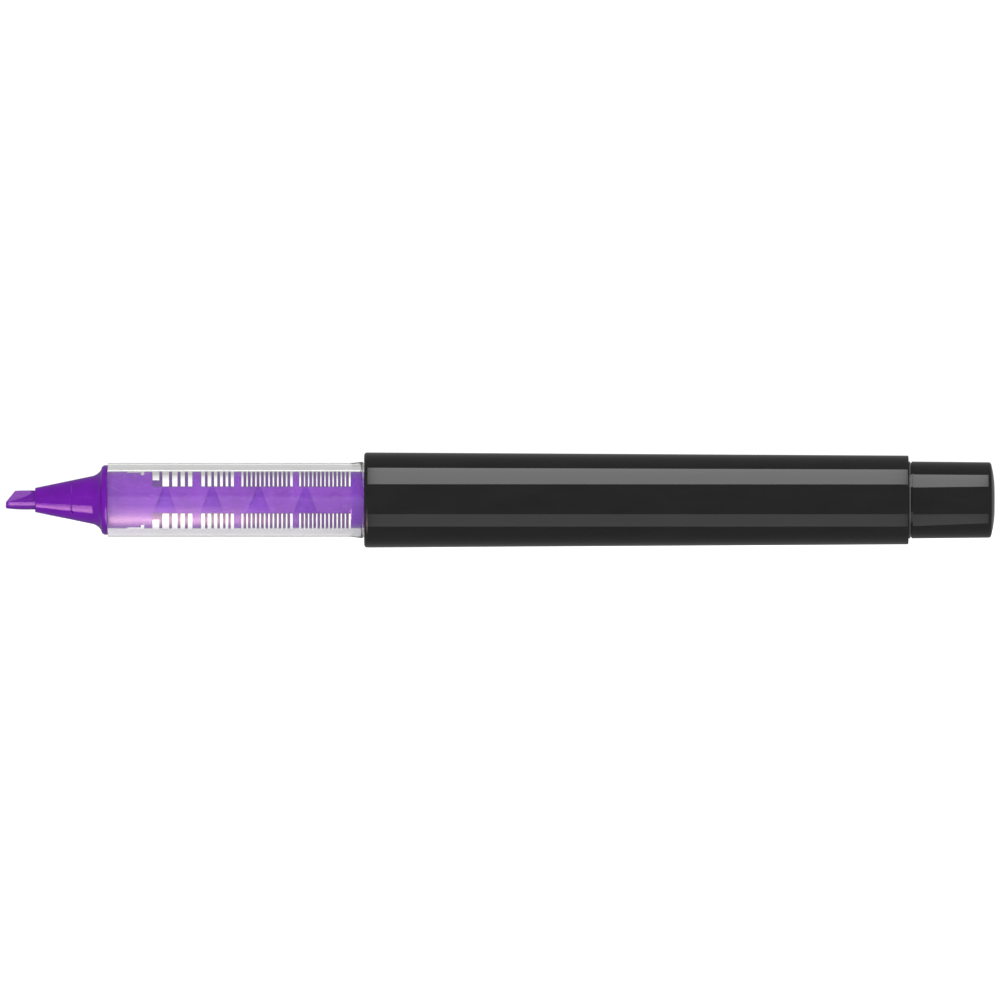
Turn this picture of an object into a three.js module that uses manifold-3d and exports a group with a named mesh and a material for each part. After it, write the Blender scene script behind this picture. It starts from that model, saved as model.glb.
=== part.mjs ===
// A free-ink highlighter without its cap, lying along X with its nib towards -X and +Z up.
// Millimetres. The origin is on the pen's axis, halfway along its length.
import * as THREE from "three";
import { mergeVertices } from "three/addons/utils/BufferGeometryUtils.js";
import Module from "manifold-3d";

const wasm = await Module();
wasm.setup();

// ---- Driving dimensions -------------------------------------------------------------------

const penLength = 135;
const tip = -penLength / 2;
const rear = penLength / 2;

const coarseSides = 24; // the barrel, so that it rests on a flat, and what is hidden inside
const fineSides = 32;
const fitGap = 0.1; // between pieces that are pressed into each other
const faceGap = 0.1; // between faces that butt against each other

// Stations along the axis.
const coneMouth = tip + 4.05;
const flangeBack = tip + 13.95;
const barrelMouth = tip + 48.95;
const barrelEnd = rear - 11.75;

// Nib: a round rod that is ground to a wedge and then cut off at a slant.
const nibRadius = 1.31;
const nibLength = 19.2;
const wedgeTurn = THREE.MathUtils.degToRad(53); // of the wedge about the axis
const wedgeHalfAngle = THREE.MathUtils.degToRad(12.4);
const wedgeTipThickness = 1.09;
const slantAngle = THREE.MathUtils.degToRad(60.9); // 90 degrees would be square across the rod
const bluntTipDepth = 0.05; // of the small square face that the slant leaves at the tip
const halfSpaceSize = 20;

// Nose cone.
const coneMouthRadius = 1.66;
const coneRootRadius = 3.3;
const coneRoot = flangeBack - 2;
const flareStart = THREE.MathUtils.degToRad(18);
const flareEnd = THREE.MathUtils.degToRad(50);
const flareRadius = 2.1;
const flangeRadius = 4.76;
const flangeRimWidth = 0.3;
const flangeRound = 0.58; // between the flare and the rim
const edgeRound = 0.1;
const nibBore = nibRadius + fitGap;
const coneCavityRadius = 1.95;
const coneCavityStart = flangeBack - 6.3;
const coneCavityEnd = flangeBack - 0.9;
const coneCavityTaper = 1.2;
const coneSpigotRadius = 2.45;
const coneSpigotLength = 2.8;
const ventRadius = 0.16;
const ventStation = flangeBack - 4.8;
const ventAngle = THREE.MathUtils.degToRad(37); // below the horizontal, on the -Y side
const ventReach = 3;
const ventSides = 12;
const flareSteps = 4;

// Clear sleeve.
const sleeveRadius = 5.05;
const sleeveBore = 4.1;
const sleeveFlareRadius = 5.28;
const sleeveFlareLength = 0.1;
const sleeveRampLength = 1.9;
const sleeveFlareSetback = 0.35; // from the flare's back to the barrel's mouth
const sleeveTail = barrelMouth + 4.5;

// Ink collector. Its stations are counted from its own front face.
const collectorRadius = 3.89;
const collectorFront = flangeBack + faceGap;
const hubEnd = 6;
const hubFlats = [
  { from: 2.6, to: 4.45, halfHeight: 3.5 },
  { from: 4.45, to: 4.92, halfHeight: 3.16 },
];
const finGroups = [
  { first: 7.16, count: 4, pitch: 1.33, shrink: 0.87, thickness: 0.37 },
  { first: 13.36, count: 5, pitch: 0.87, shrink: 0.94, thickness: 0.32 },
  { first: 18.63, count: 11, pitch: 0.599, shrink: 1, thickness: 0.35 },
  { first: 26.49, count: 12, pitch: 0.558, shrink: 1, thickness: 0.35 },
];
const buffers = [
  [11.48, 12.66],
  [17.15, 18.14],
  [25.17, 26.04],
];
const collarStart = 33.15;
const collarEnd = 39.2;
const webHalfHeight = 1.74;
const frontSlotHalfHeight = 2.51;
const channelWidth = 1;
const channelFloor = 2.9;
const collectorSpigotRadius = 2.85;
const collectorSpigotLength = 4.4;
const sealGrooveRadius = 2.55;
const sealGrooveWidth = 0.8;
const sealGrooveStation = 2.1; // from the collar's back to the groove's middle
const cutterReach = 1; // by which a cutting block passes the surface that it cuts

// Feed wick.
const wickRadius = 1.02;
const wickProud = 2; // beyond the collector's spigot, into the ink

// Ink tank: a cup that is pushed over the collector's spigot.
const tankRadius = 4.75;
const tankWall = 0.6;
const tankNeckBore = collectorSpigotRadius + 0.4;
const tankNeckLength = 3.8;
const tankLength = 50;
const tankNeckRamp = 1;
const tankEndRound = 1.4;
const tankEndSteps = 4;
const sealSteps = 8;
const inkLevel = 1.5; // height of the ink's surface above the axis, with the pen lying down

// Barrel.
const barrelMouthRadius = 6.5;
const barrelEndRadius = 6.07;
const barrelMouthRound = 0.4;
const edgeSteps = 3;
const barrelMouthBore = 5.5;
const barrelMouthBoreDepth = 0.8;
const barrelBore = 5.15;
const barrelEndBore = 4.85;
const barrelEndBoreLength = 8.2;

// Plug that closes the barrel, and the thin seal under its shoulder.
const plugShoulderRadius = 5.26;
const plugEndRadius = 5.16;
const plugCornerRound = 0.4;
const plugDomeHeight = 0.42;
const plugDomeKneeHeight = 0.28;
const plugDomeKneeRadius = 3.1;
const plugPadRadius = 1.5;
const plugGrooveDepth = 0.16;
const plugGrooveWidth = 0.15;
const plugSpigotRadius = barrelEndBore - fitGap;
const plugSpigotLength = 7.5;
const plugWall = 1;
const plugEndWall = 2;
const sealThickness = 0.18;
const sealGap = 0.05;

// ---- Making solids ------------------------------------------------------------------------

// Turns an outline of [station, radius] points about the axis. The outline runs back along the
// outside and then forward along the inside. The radii are those of the flats, and one flat
// faces straight down.
function turned(outline, sideCount = coarseSides) {
  const cornerGrowth = 1 / Math.cos(Math.PI / sideCount);
  const startsOnAxis = outline[0][1] === 0;
  const loop = startsOnAxis ? outline : [...outline, outline[0]];
  const points = loop.map(([station, radius]) => new THREE.Vector2(radius * cornerGrowth, station));
  const geometry = new THREE.LatheGeometry(points, sideCount, Math.PI / sideCount);
  return geometry.rotateZ(-Math.PI / 2);
}

// Points of a round stretch of an outline, about a centre, from one angle to another.
// Angle 0 points along the axis to the rear, and a quarter turn points outwards.
function arc(centre, radius, fromAngle, toAngle, steps) {
  const points = [];
  for (let i = 0; i <= steps; i += 1) {
    const angle = THREE.MathUtils.lerp(fromAngle, toAngle, i / steps);
    points.push([centre[0] + radius * Math.cos(angle), centre[1] + radius * Math.sin(angle)]);
  }
  return points;
}

function block(lowest, highest) {
  const size = highest.map((value, axis) => value - lowest[axis]);
  const middle = highest.map((value, axis) => (value + lowest[axis]) / 2);
  return new THREE.BoxGeometry(...size).translate(...middle);
}

function solidFrom(geometry) {
  const bare = geometry.clone();
  bare.deleteAttribute("normal");
  bare.deleteAttribute("uv");
  const welded = mergeVertices(bare);
  const triVerts = new Uint32Array(welded.index.array);
  const vertProperties = welded.attributes.position.array;
  return new wasm.Manifold(new wasm.Mesh({ numProp: 3, vertProperties, triVerts }));
}

function geometryFrom(solid) {
  const mesh = solid.getMesh();
  const geometry = new THREE.BufferGeometry();
  geometry.setAttribute("position", new THREE.BufferAttribute(mesh.vertProperties, 3));
  geometry.setIndex(new THREE.BufferAttribute(mesh.triVerts, 1));
  geometry.computeVertexNormals();
  return geometry;
}

function cut(geometry, ...tools) {
  const solid = tools.reduce((left, tool) => left.subtract(solidFrom(tool)), solidFrom(geometry));
  return geometryFrom(solid);
}

// A large block with one face on the plane through a point, on the side that the normal points to.
function halfSpace(point, normal) {
  const size = halfSpaceSize;
  const facing = new THREE.Quaternion().setFromUnitVectors(new THREE.Vector3(0, 0, 1), normal);
  const space = new THREE.BoxGeometry(size, size, size).translate(0, 0, size / 2);
  return space.applyQuaternion(facing).translate(point.x, point.y, point.z);
}

// ---- Sub-parts ----------------------------------------------------------------------------

function nibGeometry() {
  const rod = turned(
    [
      [tip, 0],
      [tip, nibRadius],
      [tip + nibLength, nibRadius],
      [tip + nibLength, 0],
    ],
    fineSides,
  );
  const forward = new THREE.Vector3(-1, 0, 0);
  const acrossWedge = new THREE.Vector3(0, -Math.cos(wedgeTurn), Math.sin(wedgeTurn));
  const alongWedge = new THREE.Vector3(0, Math.sin(wedgeTurn), Math.cos(wedgeTurn));
  const slantNormal = forward
    .clone()
    .multiplyScalar(Math.sin(slantAngle))
    .addScaledVector(alongWedge, Math.cos(slantAngle));
  const slantReach = nibRadius - bluntTipDepth;
  const slantMiddle = new THREE.Vector3(tip + slantReach / Math.tan(slantAngle), 0, 0);
  const wedgeFlats = [1, -1].map((side) => {
    const normal = forward
      .clone()
      .multiplyScalar(Math.sin(wedgeHalfAngle))
      .addScaledVector(acrossWedge, side * Math.cos(wedgeHalfAngle));
    const point = new THREE.Vector3(tip, 0, 0);
    point.addScaledVector(acrossWedge, (side * wedgeTipThickness) / 2);
    return halfSpace(point, normal);
  });
  return cut(rod, halfSpace(slantMiddle, slantNormal), ...wedgeFlats);
}

function noseConeGeometry() {
  const flareCentre = [
    coneRoot - flareRadius * Math.sin(flareStart),
    coneRootRadius + flareRadius * Math.cos(flareStart),
  ];
  const roundCentre = [flangeBack - flangeRimWidth, flangeRadius - flangeRound];
  const quarter = Math.PI / 2;
  const shell = turned(
    [
      [coneMouth, nibBore],
      [coneMouth, coneMouthRadius - edgeRound],
      [coneMouth + edgeRound, coneMouthRadius],
      ...arc(flareCentre, flareRadius, flareStart - quarter, flareEnd - quarter, flareSteps),
      ...arc(roundCentre, flangeRound, 2 * quarter, quarter, flareSteps),
      [flangeBack - edgeRound, flangeRadius],
      [flangeBack, flangeRadius - edgeRound],
      [flangeBack, coneSpigotRadius],
      [flangeBack + coneSpigotLength, coneSpigotRadius],
      [flangeBack + coneSpigotLength, nibBore],
      [coneCavityEnd, nibBore],
      [coneCavityEnd - coneCavityTaper, coneCavityRadius],
      [coneCavityStart + coneCavityTaper, coneCavityRadius],
      [coneCavityStart, nibBore],
    ],
    fineSides,
  );
  const vent = new THREE.CylinderGeometry(ventRadius, ventRadius, ventReach, ventSides);
  vent.translate(0, -nibBore - ventReach / 2, 0).rotateX(ventAngle).translate(ventStation, 0, 0);
  return cut(shell, vent);
}

function clearSleeveGeometry() {
  const flareBack = barrelMouth - sleeveFlareSetback;
  const flareFront = flareBack - sleeveFlareLength;
  return turned(
    [
      [collectorFront, sleeveBore],
      [collectorFront, sleeveRadius - edgeRound],
      [collectorFront + edgeRound, sleeveRadius],
      [flareFront - sleeveRampLength, sleeveRadius],
      [flareFront, sleeveFlareRadius],
      [flareBack, sleeveFlareRadius],
      [flareBack, sleeveRadius],
      [sleeveTail, sleeveRadius],
      [sleeveTail, sleeveBore],
    ],
    fineSides,
  );
}

// The stretches of the collector that keep their full radius, as [from, to] pairs in order.
function collectorLands() {
  const lands = [[0, hubEnd], ...buffers, [collarStart, collarEnd]];
  for (const { first, count, pitch, shrink, thickness } of finGroups) {
    let middle = first;
    let step = pitch;
    for (let i = 0; i < count; i += 1) {
      lands.push([middle - thickness / 2, middle + thickness / 2]);
      middle += step;
      step *= shrink;
    }
  }
  return lands.sort((a, b) => a[0] - b[0]);
}

// Blocks that cut the collector from above and below: the hub's flats and the slots between
// the fins, which leave a flat web.
function slotBlocks() {
  const lands = collectorLands();
  const slots = lands.slice(1).map((land, i) => ({
    from: lands[i][1],
    to: land[0],
    halfHeight: i === 0 ? frontSlotHalfHeight : webHalfHeight,
  }));
  const reach = collectorRadius + cutterReach;
  const blocks = [];
  for (const { from, to, halfHeight } of [...hubFlats, ...slots]) {
    const [start, end] = [collectorFront + from, collectorFront + to];
    blocks.push(block([start, -reach, halfHeight], [end, reach, reach]));
    blocks.push(block([start, -reach, -reach], [end, reach, -halfHeight]));
  }
  return blocks;
}

function collectorGeometry() {
  const at = (station) => collectorFront + station;
  const back = at(collarEnd);
  const groove = back + sealGrooveStation;
  const spigotEnd = back + collectorSpigotLength;
  const socketRadius = coneSpigotRadius + fitGap;
  const socketEnd = flangeBack + coneSpigotLength + faceGap;
  const nibSeatEnd = tip + nibLength + faceGap;
  const body = turned([
    [at(0), socketRadius],
    [at(0), collectorRadius],
    [back, collectorRadius],
    [back, collectorSpigotRadius],
    [groove - sealGrooveWidth / 2, collectorSpigotRadius],
    [groove - sealGrooveWidth / 2, sealGrooveRadius],
    [groove + sealGrooveWidth / 2, sealGrooveRadius],
    [groove + sealGrooveWidth / 2, collectorSpigotRadius],
    [spigotEnd, collectorSpigotRadius],
    [spigotEnd, wickRadius + fitGap],
    [nibSeatEnd, wickRadius + fitGap],
    [nibSeatEnd, nibBore],
    [socketEnd, nibBore],
    [socketEnd, socketRadius],
  ]);
  const reach = collectorRadius + cutterReach;
  const airChannel = block(
    [at(-cutterReach), -channelWidth / 2, channelFloor],
    [at(collarStart), channelWidth / 2, reach],
  );
  return cut(body, ...slotBlocks(), airChannel);
}

function wickGeometry() {
  const front = tip + nibLength + 2 * faceGap;
  const back = collectorFront + collarEnd + collectorSpigotLength + wickProud;
  return turned([
    [front, 0],
    [front, wickRadius],
    [back, wickRadius],
    [back, 0],
  ]);
}

function tankSealGeometry() {
  const middle = collectorFront + collarEnd + sealGrooveStation;
  const inner = sealGrooveRadius + sealGap;
  const outer = tankNeckBore - sealGap;
  const radius = (outer - inner) / 2;
  const ring = arc([middle, (outer + inner) / 2], radius, Math.PI, -Math.PI, sealSteps);
  return turned(ring.slice(0, -1));
}

function tankGeometry() {
  const front = sleeveTail + faceGap;
  const back = front + tankLength;
  const bore = tankRadius - tankWall;
  const quarter = Math.PI / 2;
  const outerCorner = [back - tankEndRound, tankRadius - tankEndRound];
  const innerCorner = [back - tankEndRound, bore - tankEndRound + tankWall];
  const innerRound = tankEndRound - tankWall;
  return turned([
    [back - tankWall, 0],
    ...arc(innerCorner, innerRound, 0, quarter, edgeSteps),
    [front + tankNeckLength + tankNeckRamp, bore],
    [front + tankNeckLength, tankNeckBore],
    [front, tankNeckBore],
    [front, tankRadius],
    ...arc(outerCorner, tankEndRound, quarter, 0, tankEndSteps),
    [back, 0],
  ]);
}

function inkGeometry() {
  const spigotEnd = collectorFront + collarEnd + collectorSpigotLength;
  const front = sleeveTail + faceGap + tankNeckLength + tankNeckRamp + faceGap;
  const back = sleeveTail + tankLength - tankEndRound;
  const radius = tankRadius - tankWall - faceGap;
  const fill = turned([
    [front, 0],
    [front, radius],
    [back, radius],
    [back, 0],
  ]);
  const wickRoom = wickRadius + fitGap;
  const wickEnd = spigotEnd + wickProud + faceGap;
  const wickSpace = turned([
    [front - cutterReach, 0],
    [front - cutterReach, wickRoom],
    [wickEnd, wickRoom],
    [wickEnd, 0],
  ]);
  const airSpace = block(
    [front - cutterReach, -tankRadius, inkLevel],
    [back + cutterReach, tankRadius, tankRadius],
  );
  return cut(fill, wickSpace, airSpace);
}

function barrelGeometry() {
  const roundCentre = [barrelMouth + barrelMouthRound, barrelMouthRadius - barrelMouthRound];
  return turned([
    [barrelMouth, barrelMouthBore],
    ...arc(roundCentre, barrelMouthRound, Math.PI, Math.PI / 2, edgeSteps),
    [barrelEnd, barrelEndRadius],
    [barrelEnd, barrelEndBore],
    [barrelEnd - barrelEndBoreLength, barrelEndBore],
    [barrelEnd - barrelEndBoreLength, barrelBore],
    [barrelMouth + barrelMouthBoreDepth, barrelBore],
    [barrelMouth + barrelMouthBoreDepth, barrelMouthBore],
  ]);
}

function plugSealGeometry() {
  const front = barrelEnd + sealGap;
  const back = front + sealThickness;
  return turned([
    [front, plugSpigotRadius + sealGap],
    [front, plugShoulderRadius],
    [back, plugShoulderRadius],
    [back, plugSpigotRadius + sealGap],
  ]);
}

function endPlugGeometry() {
  const shoulder = barrelEnd + sealThickness + 2 * sealGap;
  const grooveEnd = shoulder + plugGrooveWidth;
  const bore = plugSpigotRadius - plugWall;
  const corner = [rear - plugDomeHeight - plugCornerRound, plugEndRadius - plugCornerRound];
  return turned([
    [rear - plugEndWall, 0],
    [rear - plugEndWall, bore],
    [shoulder - plugSpigotLength, bore],
    [shoulder - plugSpigotLength, plugSpigotRadius],
    [shoulder, plugSpigotRadius],
    [shoulder, plugShoulderRadius - plugGrooveDepth],
    [grooveEnd, plugShoulderRadius - plugGrooveDepth],
    [grooveEnd, plugShoulderRadius],
    ...arc(corner, plugCornerRound, Math.PI / 2, 0, edgeSteps),
    [rear - plugDomeHeight + plugDomeKneeHeight, plugDomeKneeRadius],
    [rear, plugPadRadius],
    [rear, 0],
  ]);
}

// ---- The assembly -------------------------------------------------------------------------

function plastic(color, roughness, opacity = 1) {
  const transparent = opacity < 1;
  return new THREE.MeshStandardMaterial({ color, roughness, metalness: 0, opacity, transparent });
}

function piece(name, geometry, material) {
  const mesh = new THREE.Mesh(geometry, material);
  mesh.name = name;
  return mesh;
}

const inkUnit = new THREE.Group();
inkUnit.add(
  piece("nib", nibGeometry(), plastic(0x7a1fb0, 0.85)),
  piece("nose_cone", noseConeGeometry(), plastic(0x7120ab, 0.25)),
  piece("clear_sleeve", clearSleeveGeometry(), plastic(0xeef0ee, 0.08, 0.3)),
  piece("ink_collector", collectorGeometry(), plastic(0x9350c4, 0.3)),
  piece("feed_wick", wickGeometry(), plastic(0x6a1a9c, 0.9)),
  piece("tank_seal", tankSealGeometry(), plastic(0x2b2b2e, 0.7)),
  piece("ink_tank", tankGeometry(), plastic(0xe8e8ec, 0.35, 0.5)),
  piece("ink", inkGeometry(), plastic(0x6214a0, 0.1)),
);

const holder = new THREE.Group();
holder.add(
  piece("barrel", barrelGeometry(), plastic(0x1f1f1f, 0.2)),
  piece("plug_seal", plugSealGeometry(), plastic(0x55565a, 0.6)),
  piece("end_plug", endPlugGeometry(), plastic(0x1f1f1f, 0.2)),
);

const highlighter = new THREE.Group();
highlighter.add(inkUnit, holder);

export default highlighter;
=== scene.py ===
"""The looks of a free-ink highlighter without its cap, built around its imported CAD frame.

The pen lies along X with its nib towards -X and +Z up. Lengths are in millimetres unless a name
or a comment says otherwise, and MM turns them into Blender's metres.
"""

import math

import bmesh
import bpy
from mathutils import Matrix, Vector


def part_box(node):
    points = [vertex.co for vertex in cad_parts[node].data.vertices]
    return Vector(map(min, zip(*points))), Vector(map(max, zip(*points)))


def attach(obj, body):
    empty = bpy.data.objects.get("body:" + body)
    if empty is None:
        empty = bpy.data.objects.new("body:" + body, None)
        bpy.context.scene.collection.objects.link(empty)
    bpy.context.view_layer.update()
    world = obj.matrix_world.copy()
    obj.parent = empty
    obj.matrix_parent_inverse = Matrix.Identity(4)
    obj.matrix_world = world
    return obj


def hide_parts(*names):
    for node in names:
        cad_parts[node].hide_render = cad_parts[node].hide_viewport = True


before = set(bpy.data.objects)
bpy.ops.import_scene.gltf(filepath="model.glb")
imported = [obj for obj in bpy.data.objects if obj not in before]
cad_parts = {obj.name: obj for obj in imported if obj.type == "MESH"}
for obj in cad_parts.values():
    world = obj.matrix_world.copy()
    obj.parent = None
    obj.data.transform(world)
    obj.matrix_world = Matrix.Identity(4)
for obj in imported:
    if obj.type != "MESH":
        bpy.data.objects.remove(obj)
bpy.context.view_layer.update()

# ---- Dimensions ---------------------------------------------------------------------------

MM = 0.001


def span(node):
    """A CAD node's front and back stations along the axis."""
    low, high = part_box(node)
    return low.x / MM, high.x / MM


def outer_radius(node):
    low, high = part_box(node)
    return (high.z - low.z) / 2 / MM


TIP, NIB_BACK = span("nib")
CONE_MOUTH, CONE_BACK = span("nose_cone")
SLEEVE_FRONT, SLEEVE_BACK = span("clear_sleeve")
COLLECTOR_FRONT, COLLECTOR_BACK = span("ink_collector")
WICK_FRONT, WICK_BACK = span("feed_wick")
RING_FRONT, RING_BACK = span("tank_seal")
TANK_FRONT, TANK_BACK = span("ink_tank")
INK_FRONT, INK_BACK = span("ink")
BARREL_FRONT, BARREL_BACK = span("barrel")
SEAL_FRONT, SEAL_BACK = span("plug_seal")
PLUG_FRONT, REAR = span("end_plug")

# Nib: a felt rod that is ground to a wedge and then cut off at a slant.
NIB_RADIUS = outer_radius("nib")
WEDGE_TURN = math.radians(53)
WEDGE_HALF_ANGLE = math.radians(12.4)
WEDGE_TIP_THICKNESS = 1.09
SLANT_ANGLE = math.radians(60.9)
BLUNT_TIP_DEPTH = 0.05
NIB_EDGE_SHARPNESS = 60
NIB_CORE = 4.2  # from the tip to the point that the end's surface is measured from
NIB_END_RINGS = 80
NIB_ROD_RINGS = 60
CUT_MARGIN = 0.03  # how far below a plane its rounded edge still counts as cut

# Nose cone.
CONE_MOUTH_RADIUS = 1.66
CONE_ROOT_RADIUS = 3.3
FLANGE_RADIUS = outer_radius("nose_cone")
FLANGE_RIM_WIDTH = 0.3
FLANGE_ROUND = 0.58
CONE_SPIGOT_LENGTH = 2.8
FLANGE_BACK = CONE_BACK - CONE_SPIGOT_LENGTH
CONE_ROOT = FLANGE_BACK - 2
FLARE_START = math.radians(18)
FLARE_END = math.radians(50)
FLARE_RADIUS = 2.1
FLARE_STEPS = 14
FIT_GAP = 0.1
HAIRLINE = 0.02  # between pieces that touch, where the CAD keeps a wider gap
NIB_BORE = NIB_RADIUS + FIT_GAP
CONE_CAVITY = (FLANGE_BACK - 6.3, FLANGE_BACK - 0.9)
CONE_CAVITY_RADIUS = 1.95
CONE_CAVITY_TAPER = 1.2
CONE_SPIGOT_RADIUS = 2.45
VENT_RADIUS = 0.16
VENT_STATION = FLANGE_BACK - 4.8
VENT_ANGLE = math.radians(37)
VENT_DRILL_LENGTH = 3
VENT_SIDES = 32
CONE_LINE = VENT_STATION - 0.12
CONE_LINE_WIDTH = 0.1
CONE_LINE_DEPTH = 0.02

# Clear sleeve.
SLEEVE_RADIUS = 5.05
SLEEVE_BORE = 4.1
SLEEVE_FLARE_RADIUS = 5.22
SLEEVE_FLARE_LENGTH = 0.1
SLEEVE_RAMP_LENGTH = 1.45
SLEEVE_RAMP_FILLETS = (4, 0.5)
SLEEVE_FLARE_BACK = BARREL_FRONT - 0.15

# Ink collector, with its stations counted from its own front face.
COLLECTOR_RADIUS = outer_radius("ink_collector")
HUB_END = 6
HUB_FLATS = [(2.6, 4.45, 3.5), (4.45, 4.92, 3.16)]
FIN_GROUPS = [
    # first fin's middle, number, pitch, change of the pitch from fin to fin, thickness
    (7.16, 4, 1.33, 0.87, 0.37),
    (13.36, 5, 0.87, 0.94, 0.32),
    (18.63, 11, 0.599, 1, 0.35),
    (26.49, 12, 0.558, 1, 0.35),
]
BUFFERS = [(11.48, 12.66), (17.15, 18.14), (25.17, 26.04)]
COLLAR = (33.15, 39.2)
SOLID_PARTS = [(0, HUB_END), *BUFFERS, COLLAR]
WEB_HALF_HEIGHT = 1.74
FRONT_SLOT_HALF_HEIGHT = 2.51
AIR_CHANNEL_WIDTH = 1
AIR_CHANNEL_FLOOR = 2.9
COLLECTOR_SPIGOT_RADIUS = 2.85
RING_GROOVE_RADIUS = 2.55
RING_GROOVE_WIDTH = 0.8
POCKET_FIRST = 7.8
POCKET_PITCH = 6.38
POCKET_COUNT = 4
POCKET_TOP_WIDTH = 0.6
POCKET_FOOT_WIDTH = 3.2
POCKET_MARGIN = 0.12  # from the web's upper and lower faces
POCKET_DEPTH = 0.05
COLLECTOR_EDGE = 0.03
RIM_DEPTH = 0.3  # how far below the collector's outside a face still counts as its rim

# Feed wick, ink tank, its seal and the ink.
WICK_RADIUS = outer_radius("feed_wick")
WICK_FLUTES = 18
WICK_FLUTE_DEPTH = 0.05
SIDES_PER_FLUTE = 8
TANK_RADIUS = outer_radius("ink_tank")
TANK_WALL = 0.6
TANK_NECK_BORE = 3.25
TANK_NECK_LENGTH = 3.8
TANK_END_ROUND = 1.4
RING_RADIUS = (RING_BACK - RING_FRONT) / 2
RING_STEPS = 24
INK_RADIUS = 4.05
INK_LEVEL = 1.5
MENISCUS = [(0.12, 0.12), (0.18, 0.06), (0.4, 0.04)]  # steps inwards and down from the tank's wall
WICK_ROOM = WICK_RADIUS + FIT_GAP

# Barrel, the thin seal behind it and the plug that closes it.
BARREL_MOUTH_RADIUS = outer_radius("barrel")
BARREL_END_RADIUS = 6.07
BARREL_MOUTH_BORE = 5.5
BARREL_MOUTH_BORE_DEPTH = 0.8
BARREL_BORE = 5.15
BARREL_END_BORE = 4.85
BARREL_END_BORE_LENGTH = 8.2
PLUG_SHOULDER_RADIUS = outer_radius("end_plug")
PLUG_END_RADIUS = 5.16
PLUG_SPIGOT_RADIUS = BARREL_END_BORE - FIT_GAP
PLUG_SPIGOT_LENGTH = 7.5
PLUG_SHOULDER = PLUG_FRONT + PLUG_SPIGOT_LENGTH
PLUG_GROOVE_WIDTH = 0.15
PLUG_GROOVE_DEPTH = 0.16
PLUG_DOME_HEIGHT = 0.42
PLUG_PAD_RADIUS = 1.5
PLUG_DOME_STEPS = 12
PLUG_CORNER_ROUND = 0.4
PLUG_CORNER_STEPS = 6
PLUG_CORNER_END = math.radians(15)
PLUG_WALL = 1
PLUG_END_WALL = 2

ROUND_SIDES = 144
SMALL_SIDES = 72
ARC_STEPS = 8
SHARP_ANGLE = math.radians(32)  # above it an edge is shaded sharp
SOFTENED_ANGLE = math.radians(50)  # above it an edge is rounded
LONG_STRETCH = 1  # from this length on, an outline's stretch gets support points
SUPPORT_INSET = 0.08

# ---- Mesh tools ---------------------------------------------------------------------------


def rounded(corners, closed):
    """Points of an outline, where a corner (station, radius, fillet) becomes an arc."""
    points = []
    for i, (station, radius, fillet) in enumerate(corners):
        here = Vector((station, radius))
        if not fillet:
            points.append(here)
            continue
        to_last = (Vector(corners[i - 1][:2]) - here).normalized()
        to_next = (Vector(corners[(i + 1) % len(corners)][:2]) - here).normalized()
        half = to_last.angle(to_next) / 2
        centre = here + (to_last + to_next).normalized() * fillet / math.sin(half)
        arm = here + to_last * fillet / math.tan(half) - centre
        last_arm = here + to_next * fillet / math.tan(half) - centre
        turn = -arm.angle_signed(last_arm)
        for step in range(ARC_STEPS + 1):
            points.append(centre + Matrix.Rotation(turn * step / ARC_STEPS, 2) @ arm)
    if closed:
        points.append(points[0])
    return supported(points)


def supported(points):
    """Adds points near both ends of long stretches, so that they are shaded as straight."""
    result = [points[0]]
    for last, point in zip(points, points[1:]):
        step = point - last
        if step.length > LONG_STRETCH:
            inset = step.normalized() * SUPPORT_INSET
            result += [last + inset, point - inset]
        result.append(point)
    return result


def plain(corners):
    """Corners without a fillet, from (station, radius) points."""
    return [(station, radius, 0) for station, radius in corners]


def arc(centre, radius, start, end, steps=8):
    """Outline points on a circle. Angle 0 is towards the rear, a quarter turn is outwards."""
    turns = [start + (end - start) * step / steps for step in range(steps + 1)]
    return [(centre[0] + radius * math.cos(t), centre[1] + radius * math.sin(t)) for t in turns]


def all_turns(sides):
    return [math.tau * side / sides for side in range(sides)]


def around(station, radius, turn):
    """The point at a turn about the axis."""
    return Vector((station, radius * math.cos(turn), radius * math.sin(turn)))


def bridge(shape, rings):
    """Joins rings of vertices by faces. A ring of one vertex closes an end."""
    sides = max(len(ring) for ring in rings)
    for near, far in zip(rings, rings[1:]):
        for i in range(sides):
            after = (i + 1) % sides
            path = [(near, i), (near, after), (far, after), (far, i)]
            corners = [ring[place % len(ring)] for ring, place in path]
            shape.faces.new(dict.fromkeys(corners))
    bmesh.ops.recalc_face_normals(shape, faces=shape.faces)


def spun(points, sides, ripple=None):
    """A bmesh of outline points turned about the axis. ripple(turn) scales the radius."""
    shape = bmesh.new()
    rings = []
    closed = points[0] == points[-1]
    for station, radius in points[:-1] if closed else points:
        if radius == 0:
            rings.append([shape.verts.new((station * MM, 0, 0))])
            continue
        ring = []
        for turn in all_turns(sides):
            reach = radius * MM * (ripple(turn) if ripple else 1)
            ring.append(shape.verts.new(around(station * MM, reach, turn)))
        rings.append(ring)
    if closed:
        rings.append(rings[0])
    bridge(shape, rings)
    return shape


def piece(name, shape, materials):
    """An object from a bmesh, shaded smooth but for its sharp edges."""
    mesh = bpy.data.meshes.new(name)
    shape.to_mesh(mesh)
    shape.free()
    for material in materials:
        mesh.materials.append(material)
    made = bpy.data.objects.new(name, mesh)
    bpy.context.scene.collection.objects.link(made)
    shade(made)
    return made


def shade(made):
    made.data.polygons.foreach_set("use_smooth", [True] * len(made.data.polygons))
    made.data.set_sharp_from_angle(angle=SHARP_ANGLE)


def turned(name, corners, material, sides=ROUND_SIDES):
    """A solid of revolution from (station, radius, fillet) corners."""
    on_axis = corners[0][1] == 0
    return piece(name, spun(rounded(corners, not on_axis), sides), [material])


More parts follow.
